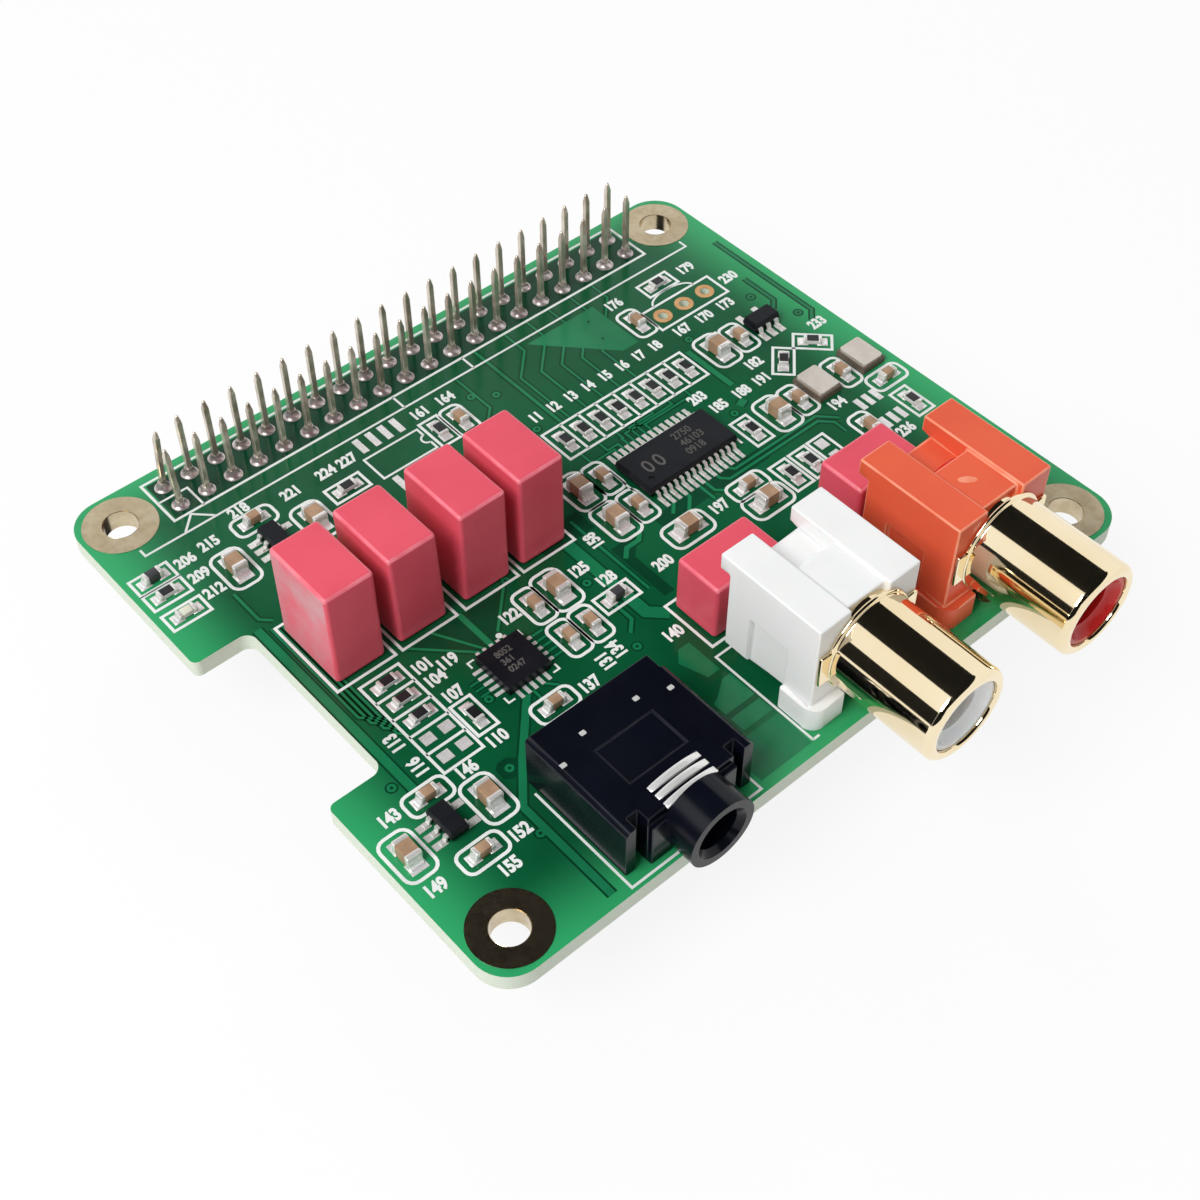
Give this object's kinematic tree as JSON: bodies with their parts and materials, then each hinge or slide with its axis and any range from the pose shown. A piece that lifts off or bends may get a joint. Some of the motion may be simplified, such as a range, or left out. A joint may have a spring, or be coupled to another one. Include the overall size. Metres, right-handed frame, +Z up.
{
  "type": "audio output add-on board",
  "caption": "Green circuit board with a stacking pin header, two phono sockets, a headphone socket, red film capacitors and small surface-mounted parts.",
  "frame": {"origin": "middle of the four mounting holes, on the underside of the board", "axes": "+X along the long side of the board, away from the flex-cable notch; +Y across the board towards the pin header; +Z up, the side that carries the parts"},
  "size_m": [0.065, 0.0636, 0.0207],
  "materials": {
    "solder_mask": "gloss",
    "pad_gold": "satin",
    "solder": "satin",
    "header_plastic": "matte",
    "pin_metal": "satin",
    "capacitor_red": "gloss",
    "tinned_metal": "satin",
    "phono_white": "gloss",
    "phono_red": "gloss",
    "phono_red_core": "gloss",
    "gold_plate": "polished",
    "headphone_black": "gloss",
    "chip_black": "matte",
    "oscillator_ceramic": "matte",
    "lid_metal": "satin",
    "capacitor_ceramic": "matte",
    "resistor_glaze": "gloss",
    "ferrite": "matte",
    "lamp_clear": "gloss"
  },
  "bodies": {
    "root": {"circuit_board": "solder_mask", "mounting_rings": "pad_gold", "jumper_pads": "pad_gold", "solder_lands": "solder", "header_socket": "header_plastic", "header_pins_near": "pin_metal", "header_pins_far": "pin_metal", "solder_joints": "solder", "film_capacitor_1": "capacitor_red", "film_capacitor_2": "capacitor_red", "film_capacitor_3": "capacitor_red", "film_capacitor_4": "capacitor_red", "film_capacitor_5": "capacitor_red", "film_capacitor_6": "capacitor_red", "film_capacitor_leads": "tinned_metal", "white_phono_housing": "phono_white", "white_phono_shell": "gold_plate", "white_phono_insulator": "phono_white", "white_phono_contact": "gold_plate", "white_phono_ground_tag": "gold_plate", "red_phono_housing": "phono_red", "red_phono_shell": "gold_plate", "red_phono_insulator": "phono_red_core", "red_phono_contact": "gold_plate", "red_phono_ground_tag": "gold_plate", "headphone_housing": "headphone_black", "headphone_bands": "tinned_metal", "headphone_terminals": "tinned_metal", "headphone_springs": "tinned_metal", "converter_chip": "chip_black", "converter_leads": "tinned_metal", "amplifier_chip": "chip_black", "regulator_1": "chip_black", "regulator_2": "chip_black", "regulator_3": "chip_black", "regulator_leads": "tinned_metal", "oscillator_base_1": "oscillator_ceramic", "oscillator_base_2": "oscillator_ceramic", "oscillator_lid_1": "lid_metal", "oscillator_lid_2": "lid_metal", "large_ceramic_capacitors": "capacitor_ceramic", "large_capacitor_ends": "tinned_metal", "small_ceramic_capacitors": "capacitor_ceramic", "small_capacitor_ends": "tinned_metal", "chip_resistors": "resistor_glaze", "resistor_ends": "tinned_metal", "ferrite_beads": "ferrite", "ferrite_ends": "tinned_metal", "indicator_lamp": "lamp_clear", "indicator_ends": "tinned_metal"}
  },
  "joints": []
}
